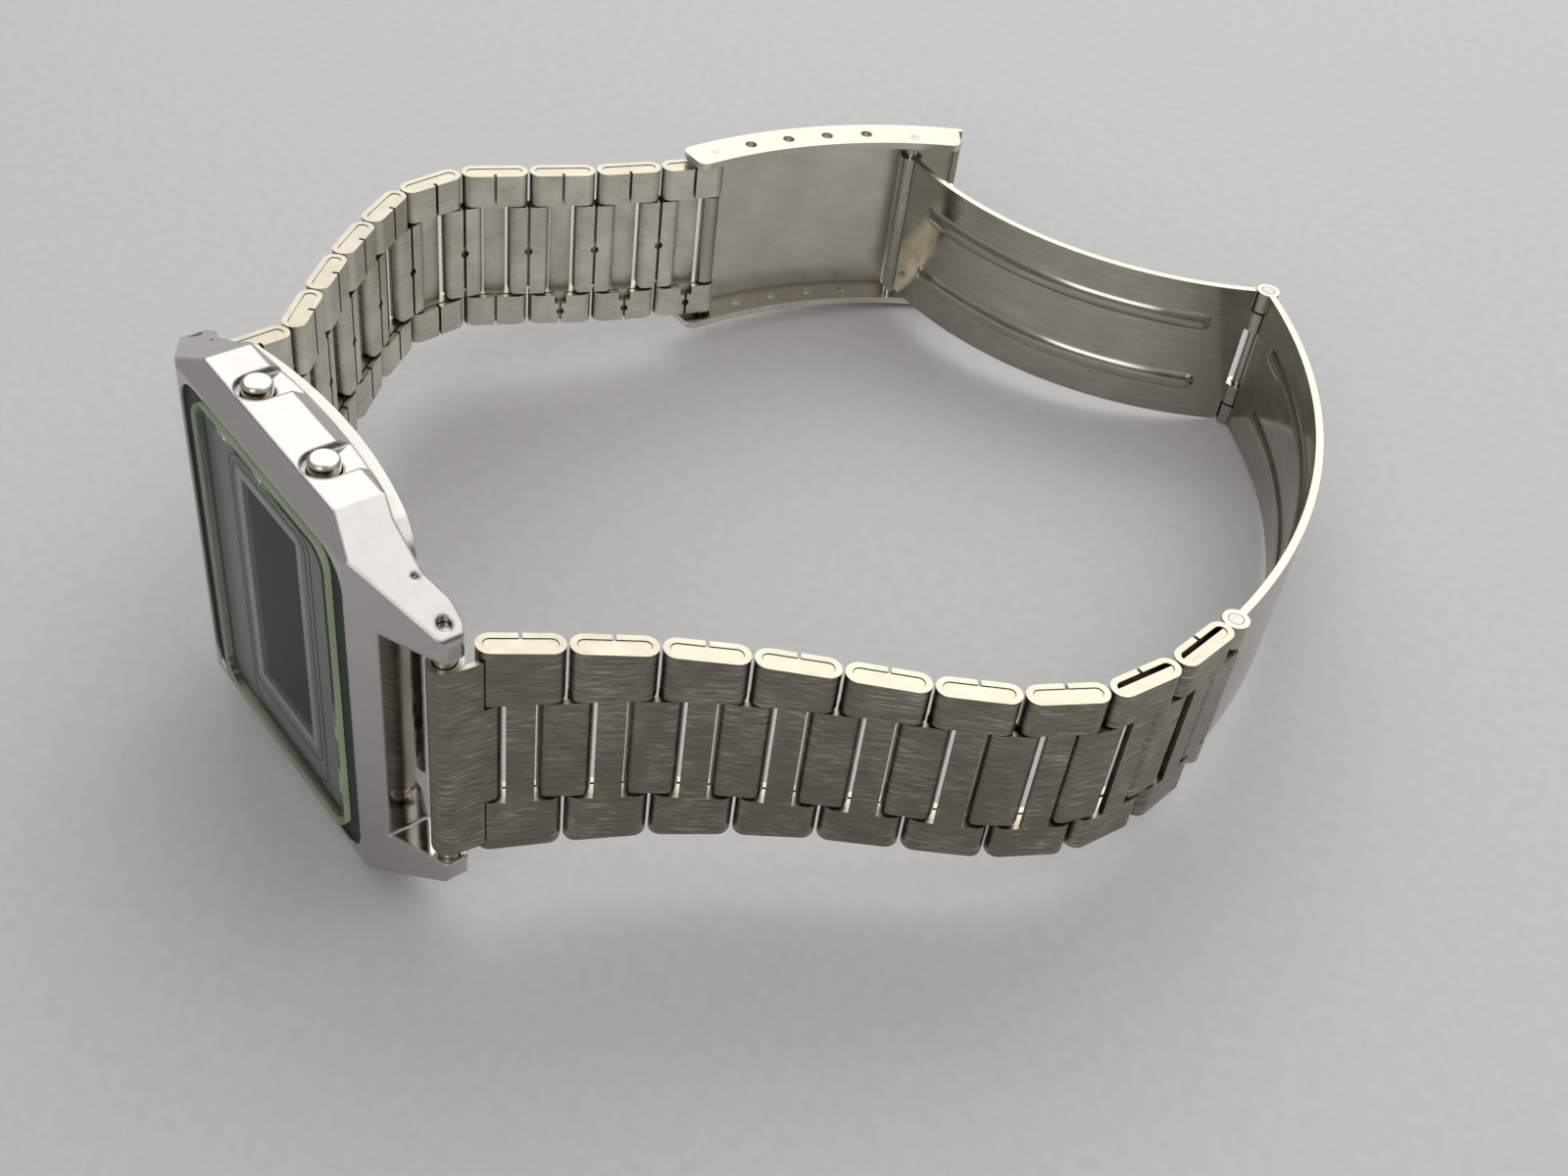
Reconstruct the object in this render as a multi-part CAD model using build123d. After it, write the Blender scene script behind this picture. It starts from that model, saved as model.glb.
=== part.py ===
from build123d import *
import math
import os

os.makedirs("parts", exist_ok=True)

# Digital wrist watch with a folded link bracelet, standing on its side.
# Worked out in the watch frame: x runs across the dial from twelve to six,
# y goes from the crystal into the loop, z runs across the band.
# The whole watch is then tilted onto the three points that it rests on.

# How the watch rests
rest_roll_deg = -6.11
rest_pitch_deg = 1.49

# Bracelet links
link_pitch = 5.52
link_thickness = 1.78
link_gap = 0.16
link_sheet = 0.44
pin_clearance = 0.07
seam_width = 0.24
core_gap = 0.16
core_end_gap = 0.16
core_recess = 0.06
cap_depth = 0.7
cap_sheet = 0.52
thin_cap_links = 2
cap_fit = 0.04
pin_end_gap = 0.16
band_width_lug = 17.9
band_width_clasp = 14.4
taper_links = 4.5
centre_width = 8.4
centre_inset = 0.14
centre_corner = 0.5
side_gap = 0.2
pip_hole_radius = 0.34
clip_links = 3
clip_notch_half = 0.5
clip_notch_depth = 0.8
clip_hole_past = 1.6
clip_hole_radius = 0.32
staple_sheet = 0.42
staple_margin = 0.5

# Turn of the band at each link, in degrees, from the case to the clasp
near_first_heading = 62.0
near_turns = [-2.0, -6.0, -4.0, -3.0, 2.0, 12.0, 24.0, 12.0]
far_first_heading = 98.0
far_turns = [38.0, -2.0, -4.0, -6.0, -30.0, -30.0, 0.0, 5.0, 2.0]
near_end_heading = 75.0
connector_heading = 104.0
cover_turn = 15.0

# Band end pieces and spring bars
bar_along = 16.1
bar_depth = 3.8
bar_clearance = 0.07
bar_tip_radius = 0.4
tip_clearance = 0.05
tip_recess = 0.35
end_reach = 2.69
end_width = 16.4
end_curl_radius = 1.15
end_sheet = 0.36
curl_mouth_start_deg = -75.0
curl_mouth_end_deg = -15.0

# Clasp cover
cover_radius = 40.0
cover_sheet = 0.45
cover_half_width = 8.2
flange_sheet = 0.6
cover_depth = 3.1
hole_depth = 1.6
hole_pitch = 3.55
hole_count = 5
hole_clearance = 0.12
cover_lead = 2.2
web_lead = 0.2
hinge_past_holes = 4.2
hinge_depth = 2.1
cover_tail = 4.4
flange_tail = 4.1
flange_corner = 0.8
lip_height = 0.5
lip_length = 0.45

# Clasp blades
blade_one_length = 33.0
blade_one_bow = 4.8
blade_two_length = 41.3
blade_two_bow = 4.8
blade_half_width = 6.5
blade_sheet = 0.55
rib_half_width = 0.8
rib_height = 0.36
rib_offset = 3.0
rib_end_margin = 4.6
hinge_pin_radius = 0.5
hinge_clearance = 0.05
knuckle_radius = 0.92
knuckle_gap = 0.18
open_pin_half = 2.6
catch_along = 4.6
catch_offset = 5.3
catch_radius = 0.7
catch_height = 0.9
connector_reach = 2.6

# Case
case_half_width = 15.1
case_flat_half = 8.4
lug_tip = 17.2
lug_width = 1.6
lug_corner = 0.8
lug_front = 3.1
lug_back_tip = 4.5
lug_back = 4.9
lug_back_along = 16.4
lug_foot_along = 15.2
lug_waist_along = 13.3
lug_waist_depth = 4.15
lug_round = 0.6
case_end = 12.9
case_front = 0.25
bezel_half_along = 10.9
bezel_inset = 1.8
side_front = 1.15
side_back = 4.3
rear_inset = 0.7
case_rear = 5.4
rear_arch_radius = 40.0
lug_play = 0.15
cavity_half_along = 9.6
case_wall = 2.8
cavity_corner = 2.0

# Crystal, gasket and dial
crystal_half_along = 8.8
crystal_inset = 2.6
crystal_corner = 1.6
crystal_depth = 1.3
crystal_bevel = 0.12
gasket_half_along = 10.7
gasket_inset = 2.0
gasket_corner = 2.4
gasket_front = 0.55
ledge_depth = 1.5
fit_gap = 0.05
dial_depth = 0.3
window_half_along = 3.6
window_inset = 6.4
window_along = -0.4
lcd_depth = 1.0
frame_rear = 3.7
board_depth = 0.6
board_corner = 1.5
battery_radius = 8.0
battery_depth = 1.15

# Case back
back_half_along = 12.2
back_inset = 1.0
back_corner = 3.0
back_sheet = 0.9
back_lip_front = 4.1
back_gasket_width = 0.9
back_groove_inset = 1.3
back_groove_width = 0.3
back_groove_depth = 0.15

# Dimple near each lug on the long sides
dimple_along = 13.2
dimple_depth = 3.62
dimple_radius = 0.22

# Pushers
pusher_along = 4.3
pusher_depth = 2.75
pusher_radius = 1.0
pusher_dome = 0.25
pusher_raise = 0.95
pusher_stem_radius = 0.5
pusher_travel = 0.5
pusher_clearance = 0.08
notch_radius = 1.45
notch_depth = 0.55

cut_over = 1.0

# Sizes that follow from the ones above
arm_radius = link_thickness / 2
arm_cavity = arm_radius - link_sheet
pin_radius = arm_cavity - pin_clearance
arm_reach = (link_pitch - link_gap) / 2 - arm_radius
hinge_step = link_pitch - 2 * arm_reach
centre_radius = arm_radius - centre_inset
waist_half = arm_reach - centre_radius - link_gap
centre_half_width = centre_width / 2
slot_half_width = centre_half_width + side_gap
end_bore = end_curl_radius - end_sheet
bar_radius = end_bore - bar_clearance
tip_hole_radius = bar_tip_radius + tip_clearance
hole_line_radius = cover_radius - hole_depth
hole_radius = pin_radius + hole_clearance
hinge_bore = hinge_pin_radius + hinge_clearance
rib_radius = (rib_half_width**2 + rib_height**2) / (2 * rib_height)
pin_recess = core_recess + cap_depth + pin_end_gap
lug_gap_half = band_width_lug / 2 + lug_play
lug_tip_half_width = lug_gap_half + lug_width
bezel_half_across = case_half_width - bezel_inset
rear_half_across = case_half_width - rear_inset
cavity_half_across = case_half_width - case_wall
crystal_half_across = case_half_width - crystal_inset
gasket_half_across = case_half_width - gasket_inset
window_half_across = case_half_width - window_inset
back_half_across = case_half_width - back_inset
lug_slope = (case_half_width - lug_tip_half_width) / (lug_tip - case_flat_half)
flange_inner = cover_half_width - flange_sheet
knuckle_inner = open_pin_half + knuckle_gap
curl_inner = slot_half_width + knuckle_gap
pusher_floor = case_half_width - notch_depth - pusher_travel


def along(heading):
    turn = math.radians(heading)
    return Vector(math.cos(turn), math.sin(turn))


def band_width(path):
    """Band width at a distance from the first link's end, measured along the band."""
    part = min(1.0, max(0.0, path / (taper_links * link_pitch)))
    return band_width_lug + (band_width_clasp - band_width_lug) * part


def bar(radius, low, high, x=0.0, y=0.0):
    return Pos(x, y, low) * extrude(Circle(radius), high - low)


def slab(face, half):
    return extrude(face, half, both=True)


def outline(points):
    """Closed outline of straight edges, counter-clockwise whichever way its points run."""
    following = points[1:] + points[:1]
    turning = sum(a[0] * b[1] - b[0] * a[1] for a, b in zip(points, following))
    return Polygon(*(points if turning > 0 else reversed(points)), align=None)


def seen_from_front(face, near, far):
    """A prism of an x-z outline between two depths."""
    return Pos(0, far, 0) * extrude(Plane.XZ * face, far - near)


def box_between(low, high):
    size = [b - a for a, b in zip(low, high)]
    middle = [(a + b) / 2 for a, b in zip(low, high)]
    return Pos(*middle) * Box(*size)


def tube(half, outer, inner, half_width):
    """A sheet rolled flat round two parallel pins, closed by a seam on the inner side."""
    section = SlotCenterToCenter(2 * half, 2 * outer) - SlotCenterToCenter(2 * half, 2 * inner)
    section -= Pos(0, -(outer + inner) / 2) * Rectangle(seam_width, 2 * (outer - inner))
    return slab(section, half_width)


def h_link(path, cap_height, open_end=False, clip=False):
    """One H-shaped link: rolled sheet with two side arms and a bridge, and a core in each arm.

    Each core ends in a wide flat cap over the pins; an open end leaves the far pin's way clear.
    A link that can be taken out has a notch and a round hole in the inner wall of one arm.
    """
    half = link_pitch / 2
    start = band_width(path) / 2
    end = band_width(path + link_pitch) / 2

    def edge(x):
        return start + (end - start) * (x + half) / link_pitch

    plan = [
        (-half, start), (-half, slot_half_width), (-waist_half, slot_half_width),
        (-waist_half, -slot_half_width), (-half, -slot_half_width), (-half, -start),
        (half, -end), (half, -slot_half_width), (waist_half, -slot_half_width),
        (waist_half, slot_half_width), (half, slot_half_width), (half, end),
    ]
    sheet = tube(arm_reach, arm_radius, arm_cavity, max(start, end))
    sheet &= seen_from_front(outline(plan), -link_thickness, link_thickness)
    sheet -= box_between(
        (-half, -link_thickness, -slot_half_width), (half, arm_cavity, slot_half_width)
    )
    if clip:
        sheet -= box_between(
            (-clip_notch_half, -link_thickness, -slot_half_width - clip_notch_depth),
            (clip_notch_half, -arm_cavity, -slot_half_width),
        )
        sheet -= seen_from_front(
            Pos(0, -slot_half_width - clip_hole_past) * Circle(clip_hole_radius),
            -link_thickness,
            -arm_cavity,
        )
    core_half = arm_reach - pin_radius - core_end_gap
    cap_section = SlotCenterToCenter(2 * arm_reach, 2 * (arm_cavity - cap_fit))
    cap_section &= Pos(0, arm_cavity - cap_height / 2) * Rectangle(link_pitch, cap_height)
    cap_bar = slab(cap_section, max(start, end))
    if open_end:
        cap_bar -= bar(arm_radius, -max(start, end), max(start, end), arm_reach)
    pieces = [sheet]
    for side in (1, -1):
        core_plan = [
            (-core_half, side * slot_half_width),
            (core_half, side * slot_half_width),
            (core_half, side * (edge(core_half) - core_recess)),
            (-core_half, side * (edge(-core_half) - core_recess)),
        ]
        cap_plan = [
            (-half, side * (edge(-half) - core_recess - cap_depth)),
            (half, side * (edge(half) - core_recess - cap_depth)),
            (half, side * (edge(half) - core_recess)),
            (-half, side * (edge(-half) - core_recess)),
        ]
        core = seen_from_front(outline(core_plan), core_gap - arm_cavity, arm_cavity)
        core -= seen_from_front(outline(cap_plan), -link_thickness, arm_cavity - cap_height)
        core += cap_bar & seen_from_front(outline(cap_plan), -link_thickness, link_thickness)
        pieces.append(core)
    return pieces


def rounded_ends(half_length, half_width, corner):
    face = RectangleRounded(2 * half_length, 2 * half_width, corner)
    return seen_from_front(face, -link_thickness, link_thickness)


def centre_piece(path):
    """One centre piece: rolled sheet over a staple whose round legs are the hinge pins."""
    half = hinge_step / 2
    sheet = tube(half, centre_radius, pin_radius, centre_half_width)
    sheet &= rounded_ends(half + centre_radius, centre_half_width, centre_corner)
    sheet -= Pos(0, -centre_radius + pin_radius / 2, 0) * Rot(90, 0, 0) * Cylinder(
        pip_hole_radius, 2 * centre_radius - pin_radius
    )
    staple = Box(2 * half, staple_sheet, centre_width - 2 * staple_margin)
    for side in (1, -1):
        reach = band_width(path + side * half) / 2 - pin_recess
        staple += bar(pin_radius, -reach, reach, side * half)
    return [sheet, staple]


def tangent_plate(big, small, reach, sheet, half_width):
    """A flat plate that touches a curl at the start and a smaller curl at the far end."""
    lean = math.asin((big - small) / reach)
    normal = Vector(math.sin(lean), math.cos(lean))
    corners = [normal * big, Vector(reach, 0) + normal * small]
    corners += [corner - normal * sheet for corner in reversed(corners)]
    return slab(outline([(corner.X, corner.Y) for corner in corners]), half_width)


def curl_mouth(radius, start_deg, end_deg):
    reach = 2 * radius
    points = [(0, 0)] + [
        (reach * math.cos(math.radians(turn)), reach * math.sin(math.radians(turn)))
        for turn in (start_deg, end_deg)
    ]
    return outline(points)


def end_piece():
    """Band end piece: sheet curled round the spring bar, with a tab to the first link."""
    half = end_width / 2
    curl = slab(Circle(end_curl_radius) - Circle(end_bore), half)
    curl -= slab(curl_mouth(end_curl_radius, curl_mouth_start_deg, curl_mouth_end_deg), half)
    plate = tangent_plate(end_curl_radius, centre_radius, end_reach, end_sheet, half)
    for side in (1, -1):
        low, high = sorted((side * centre_half_width, side * (half + cut_over)))
        plate -= bar(arm_radius + link_gap, low, high, end_reach)
    knuckle = slab(Circle(centre_radius), centre_half_width)
    pin_hole = slab(Circle(pin_radius), centre_half_width)
    body = curl + plate + Pos(end_reach, 0, 0) * knuckle
    body -= Pos(end_reach, 0, 0) * pin_hole
    reach = band_width(0) / 2 - pin_recess
    return [body, bar(pin_radius, -reach, reach, end_reach)]


def connector():
    """Plate that joins the last near link to the far end of the long blade."""
    half = centre_half_width
    path = (len(near_turns) + 1) * link_pitch
    near_knuckle = slab(Circle(centre_radius), half)
    far_knuckle = slab(Circle(knuckle_radius), half)
    plate = tangent_plate(centre_radius, knuckle_radius, connector_reach, end_sheet, half)
    body = near_knuckle + Pos(connector_reach, 0, 0) * far_knuckle + plate
    body -= slab(Circle(pin_radius), half)
    body -= Pos(connector_reach, 0, 0) * slab(Circle(hinge_pin_radius), half)
    reach = band_width(path) / 2 - pin_recess
    return [body, bar(pin_radius, -reach, reach)]


def arc_angle(distance, radius):
    return distance / radius


def sector(outer, inner, start, end):
    """Ring sector about the origin, from start to end in radians clockwise from +y."""
    reach = 2 * outer
    middle = (start + end) / 2
    points = [(0, 0)] + [
        (reach * math.sin(turn), reach * math.cos(turn)) for turn in (start, middle, end)
    ]
    return (Circle(outer) - Circle(inner)) & outline(points)


def rounded_sector(outer, inner, start, end, corner, low, high):
    """Extruded ring sector with its four upright corners rounded."""
    body = Pos(0, 0, low) * extrude(sector(outer, inner, start, end), high - low)
    return fillet(body.edges().filter_by(Axis.Z), corner)


def clasp_cover():
    """Curved channel with a web outside, two flanges and five adjusting holes."""
    hinge_path = (hole_count - 1) * hole_pitch + hinge_past_holes
    start = -arc_angle(cover_lead, hole_line_radius)
    web_start = arc_angle(web_lead, hole_line_radius)
    end = arc_angle(hinge_path + cover_tail, hole_line_radius)
    flange_end = arc_angle(hinge_path + flange_tail, hole_line_radius)
    inner = cover_radius - cover_depth
    body = slab(
        sector(cover_radius, cover_radius - cover_sheet, web_start, end), cover_half_width
    )
    lip = sector(
        cover_radius,
        cover_radius - cover_sheet - lip_height,
        end - arc_angle(lip_length, cover_radius),
        end,
    )
    body += slab(lip, flange_inner)
    for low, high in ((flange_inner, cover_half_width), (-cover_half_width, -flange_inner)):
        body += rounded_sector(
            cover_radius, inner, start, flange_end, flange_corner, low, high
        )
    for index in range(hole_count):
        turn = arc_angle(index * hole_pitch, hole_line_radius)
        body -= Pos(
            hole_line_radius * math.sin(turn), hole_line_radius * math.cos(turn), 0
        ) * slab(Circle(hole_radius if index else pin_radius), cover_half_width + cut_over)
    hinge_turn = arc_angle(hinge_path, hole_line_radius)
    hinge_radius = cover_radius - hinge_depth
    hinge_at = Vector(hinge_radius * math.sin(hinge_turn), hinge_radius * math.cos(hinge_turn))
    body -= Pos(hinge_at.X, hinge_at.Y, 0) * slab(
        Circle(hinge_pin_radius), cover_half_width + cut_over
    )
    lowered = Vector(0, -hole_line_radius)
    return Pos(0, -hole_line_radius, 0) * body, hinge_at + lowered


def blade(length, bow, bow_side):
    """Curved blade between two hinge axes, with two pressed ribs along it."""
    radius = (length**2 / 4 + bow**2) / (2 * bow)
    half_turn = math.asin(length / 2 / radius)
    outer = radius + blade_sheet / 2
    inner = radius - blade_sheet / 2
    plate = slab(sector(outer, inner, -half_turn, half_turn), blade_half_width)
    rib_turn = half_turn - arc_angle(rib_end_margin, radius)
    rib_seat = inner if bow_side > 0 else outer
    rib_top = rib_seat - rib_height if bow_side > 0 else rib_seat + rib_height
    rib_core = rib_top + rib_radius if bow_side > 0 else rib_top - rib_radius
    rib_zone = slab(
        sector(max(rib_seat, rib_top), min(rib_seat, rib_top), -half_turn, half_turn),
        blade_half_width,
    )
    for side in (1, -1):
        rib = Pos(0, rib_core, side * rib_offset) * Rot(0, 90, 0) * Circle(rib_radius)
        swept = revolve(rib, Axis.Z, math.degrees(2 * rib_turn))
        plate += Rot(0, 0, -math.degrees(rib_turn)) * swept & rib_zone
        for end in (1, -1):
            round_end = Rot(0, 0, math.degrees(end * rib_turn)) * Pos(
                0, rib_core, side * rib_offset
            )
            plate += round_end * Sphere(rib_radius) & rib_zone
    centre_height = bow - radius
    moved = Pos(length / 2, centre_height, 0) * plate
    if bow_side < 0:
        moved = mirror(moved, Plane.XZ)
    arc = Pos(length / 2, centre_height, 0) * sector(outer, inner, -half_turn, half_turn)
    if bow_side < 0:
        arc = mirror(arc, Plane.XZ)
    return moved, arc


def knuckles(body, arc, x, zones, clear_zones):
    """Rolled knuckles round the hinge axis at x, between stretches that are cut clear."""
    for low, high in clear_zones:
        body -= bar(knuckle_radius + knuckle_gap, low, high, x)
    for low, high in zones:
        leg = Pos(0, 0, low) * extrude(arc, high - low)
        leg &= bar(knuckle_radius + 2 * knuckle_gap, low, high, x)
        body += leg + bar(knuckle_radius, low, high, x)
        body -= bar(hinge_bore, low - cut_over, high + cut_over, x)
    return body


def both_sides(low, high):
    return [(low, high), (-high, -low)]


def blade_one():
    """Short blade, hinged in the cover and bowed towards the inside of the loop."""
    body, arc = blade(blade_one_length, blade_one_bow, -1)
    radius = (blade_one_length**2 / 4 + blade_one_bow**2) / (2 * blade_one_bow)
    catch_turn = math.asin(blade_one_length / 2 / radius) - arc_angle(catch_along, radius)
    for side in (1, -1):
        catch = Pos(0, radius, side * catch_offset) * Rot(90, 0, 0) * Cylinder(
            catch_radius,
            catch_height + blade_sheet / 2,
            align=(Align.CENTER, Align.CENTER, Align.MIN),
        )
        turned = Rot(0, 0, math.degrees(catch_turn)) * catch
        placed = Pos(blade_one_length / 2, blade_one_bow - radius, 0) * turned
        body += mirror(placed, Plane.XZ)
    body = knuckles(body, arc, 0.0, [(-blade_half_width, blade_half_width)], [])
    fold = both_sides(knuckle_inner, curl_inner)
    whole = [(-blade_half_width - cut_over, blade_half_width + cut_over)]
    return knuckles(body, arc, blade_one_length, fold, whole)


def blade_two():
    """Long blade, bowed outwards, from the fold hinge to the band connector."""
    body, arc = blade(blade_two_length, blade_two_bow, 1)
    whole = [(-blade_half_width - cut_over, blade_half_width + cut_over)]
    fold = both_sides(curl_inner + knuckle_gap, blade_half_width)
    body = knuckles(body, arc, 0.0, fold, whole)
    ends = both_sides(curl_inner, blade_half_width)
    return knuckles(body, arc, blade_two_length, ends, [(-curl_inner, curl_inner)])


def case_outline(flat, width, tip, tip_width):
    points = [(flat, width), (tip, tip_width), (tip, -tip_width), (flat, -width)]
    return outline(points + [(-x, z) for x, z in reversed(points)])


def both_ways(points):
    """Closed outline from points on the positive side and their mirror images."""
    return outline(points + [(-x, y) for x, y in reversed(points)])


def rounded(half_along, half_across, corner):
    return RectangleRounded(2 * half_along, 2 * half_across, corner)


def arched(rear):
    """Side view of everything in front of an arched surface that is rear deep at the middle."""
    arch = Pos(0, rear - rear_arch_radius) * Circle(rear_arch_radius)
    return arch & Pos(0, rear / 2) * Rectangle(2 * case_end, rear)


def case_middle():
    """Faceted case with an arched rear and four lugs that end in round lobes."""
    plan = case_outline(case_flat_half, case_half_width, lug_tip, lug_tip_half_width)
    corners = [v for v in plan.vertices() if abs(v.X) > lug_back_along]
    plan = fillet(corners, lug_corner)
    body = seen_from_front(plan, 0.0, case_rear)
    side = both_ways([
        (bezel_half_along, case_front), (lug_tip, lug_front), (lug_tip, lug_back_tip),
        (lug_back_along, lug_back), (lug_foot_along, lug_back),
        (lug_waist_along, lug_waist_depth),
    ])
    side = fillet([v for v in side.vertices() if abs(v.X) > case_end], lug_round)
    side += arched(case_rear) & Pos(0, case_rear) * Rectangle(2 * case_end, 2 * lug_waist_depth)
    body &= slab(side, case_half_width)
    cross = both_ways([
        (bezel_half_across, case_front), (case_half_width, side_front),
        (case_half_width, side_back), (rear_half_across, case_rear),
    ])
    body &= slab(Plane.ZY * cross, lug_tip)
    for end in (1, -1):
        low, high = sorted((end * case_end, end * (lug_tip + cut_over)))
        body -= box_between(
            (low, -cut_over, -lug_gap_half), (high, case_rear + cut_over, lug_gap_half)
        )
        body -= bar(
            tip_hole_radius, -case_half_width, case_half_width, end * bar_along, bar_depth
        )
        dimple_floor = case_half_width - (dimple_along - case_flat_half) * lug_slope
        dimple_floor -= dimple_radius
        for low, high in both_sides(dimple_floor, case_half_width):
            body -= bar(dimple_radius, low, high, end * dimple_along, dimple_depth)
    seat = rounded(gasket_half_along, gasket_half_across, gasket_corner)
    body -= seen_from_front(seat, -cut_over, ledge_depth)
    cavity = rounded(cavity_half_along, cavity_half_across, cavity_corner)
    body -= seen_from_front(cavity, 0.0, case_rear + cut_over)
    for end in (1, -1):
        low = cavity_half_across - cut_over
        body -= bar(
            pusher_stem_radius + pusher_clearance, low, case_half_width,
            end * pusher_along, pusher_depth,
        )
        body -= bar(
            pusher_radius + pusher_clearance,
            pusher_floor - pusher_travel - pusher_clearance,
            case_half_width + cut_over,
            end * pusher_along,
            pusher_depth,
        )
        notch = Pos(end * pusher_along, pusher_depth) * Circle(notch_radius)
        notch += Pos(end * pusher_along, pusher_depth + notch_radius) * Rectangle(
            2 * notch_radius, 2 * notch_radius
        )
        body -= Pos(0, 0, case_half_width - notch_depth) * extrude(notch, cut_over)
    return body


def pusher():
    """Push button: domed cap on a stem that runs through the case wall."""
    stem = bar(pusher_stem_radius, cavity_half_across + fit_gap, pusher_floor + fit_gap)
    top = case_half_width - notch_depth + pusher_raise
    cap = bar(pusher_radius, pusher_floor, top)
    crown = fillet(cap.edges().group_by(Axis.Z)[-1], pusher_dome)
    return stem + crown


def crystal():
    body = seen_from_front(
        rounded(crystal_half_along, crystal_half_across, crystal_corner), 0.0, crystal_depth
    )
    return chamfer(body.edges().group_by(Axis.Y)[0], crystal_bevel)


def crystal_gasket():
    ring = rounded(gasket_half_along, gasket_half_across, gasket_corner)
    ring -= rounded(crystal_half_along, crystal_half_across, crystal_corner)
    return seen_from_front(ring, gasket_front, ledge_depth)


def dial_plate():
    face = rounded(cavity_half_along - fit_gap, cavity_half_across - fit_gap, cavity_corner)
    face -= Pos(window_along, 0) * Rectangle(2 * window_half_along, 2 * window_half_across)
    return seen_from_front(face, ledge_depth, ledge_depth + dial_depth)


def lcd_panel():
    face = Pos(window_along, 0) * Rectangle(
        2 * (window_half_along + dial_depth), 2 * (window_half_across + dial_depth)
    )
    front = ledge_depth + dial_depth
    return seen_from_front(face, front, front + lcd_depth)


def module_parts():
    """Plastic module frame, circuit board and button cell, stacked behind the dial."""
    front = ledge_depth + dial_depth
    lcd_face = Pos(window_along, 0) * Rectangle(
        2 * (window_half_along + dial_depth), 2 * (window_half_across + dial_depth)
    )
    whole = rounded(cavity_half_along - fit_gap, cavity_half_across - fit_gap, cavity_corner)
    wall = rounded(
        cavity_half_along - back_gasket_width, cavity_half_across - back_gasket_width, board_corner
    )
    frame = seen_from_front(whole, front, frame_rear)
    frame -= seen_from_front(lcd_face, front - cut_over, front + lcd_depth)
    board_front = front + lcd_depth
    frame -= seen_from_front(wall, board_front, board_front + board_depth)
    cell_front = board_front + board_depth
    cell_face = Circle(battery_radius)
    frame -= seen_from_front(cell_face, cell_front, frame_rear + cut_over)
    for end in (1, -1):
        frame -= bar(
            pusher_radius, cavity_half_across - pusher_travel - pusher_clearance,
            cavity_half_across + cut_over, end * pusher_along, pusher_depth,
        )
    board = seen_from_front(
        rounded(
            cavity_half_along - back_gasket_width - fit_gap,
            cavity_half_across - back_gasket_width - fit_gap,
            board_corner,
        ),
        board_front,
        board_front + board_depth,
    )
    cell_body = Circle(battery_radius - fit_gap)
    cell = seen_from_front(cell_body, cell_front, cell_front + battery_depth)
    return frame, board, cell


def ring_between(outer_inset, inner_inset, half_along, half_across, corner):
    ring = rounded(half_along - outer_inset, half_across - outer_inset, corner)
    return ring - rounded(half_along - inner_inset, half_across - inner_inset, corner)


def back_parts():
    """Arched case back with a lip that goes into the case, and the gasket under the lip."""
    rear = case_rear + back_sheet
    plate = arched(rear) - arched(case_rear)
    plate -= Pos(0, lug_waist_depth / 2) * Rectangle(2 * case_end, lug_waist_depth)
    rim = rounded(back_half_along, back_half_across, back_corner)
    body = slab(plate, back_half_across) & seen_from_front(rim, 0.0, rear)
    ring = rounded(cavity_half_along, cavity_half_across, cavity_corner)
    ring -= rounded(
        cavity_half_along - back_gasket_width, cavity_half_across - back_gasket_width, board_corner
    )
    within = rounded(cavity_half_along - fit_gap, cavity_half_across - fit_gap, cavity_corner)
    lip = seen_from_front(ring & within, back_lip_front, case_rear)
    body += lip & slab(arched(rear - back_groove_depth), cavity_half_across)
    groove = ring_between(
        back_groove_inset, back_groove_inset + back_groove_width,
        back_half_along, back_half_across, board_corner,
    )
    groove_zone = slab(arched(rear) - arched(rear - back_groove_depth), back_half_across)
    body -= seen_from_front(groove, 0.0, rear) & groove_zone
    gasket = seen_from_front(ring, frame_rear, back_lip_front)
    return body, gasket


def spring_bars():
    """The two spring bars that hold the band ends in the lugs."""
    tip = case_half_width - (bar_along - case_flat_half) * lug_slope - tip_recess
    body_half = lug_gap_half - fit_gap
    bars = []
    for end in (1, -1):
        rod = bar(bar_radius, -body_half, body_half, end * bar_along, bar_depth)
        rod += bar(bar_tip_radius, -tip, tip, end * bar_along, bar_depth)
        bars.append(rod)
    return bars


def chain(start, first_heading, turns):
    """Places of the links and centre pieces, from the first hinge axis on."""
    links = []
    centres = []
    heading = first_heading
    place = start
    for index in range(len(turns) + 1):
        if index:
            middle = heading + turns[index - 1] / 2
            centres.append((place + along(middle) * (hinge_step / 2), middle))
            place += along(middle) * hinge_step
            heading += turns[index - 1]
        links.append((place + along(heading) * arm_reach, heading))
        place += along(heading) * (2 * arm_reach)
    return links, centres, place, heading


def put(shape, place, heading, side):
    """Place a band piece; side is 1 where its outer face is on the left of its heading."""
    turned = Pos(place.X, place.Y, 0) * Rot(0, 0, heading)
    if side < 0:
        turned *= Rot(180, 0, 0)
    return turned * shape


def put_all(shapes, place, heading, side):
    return [put(shape, place, heading, side) for shape in shapes]


nodes = {}

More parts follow.
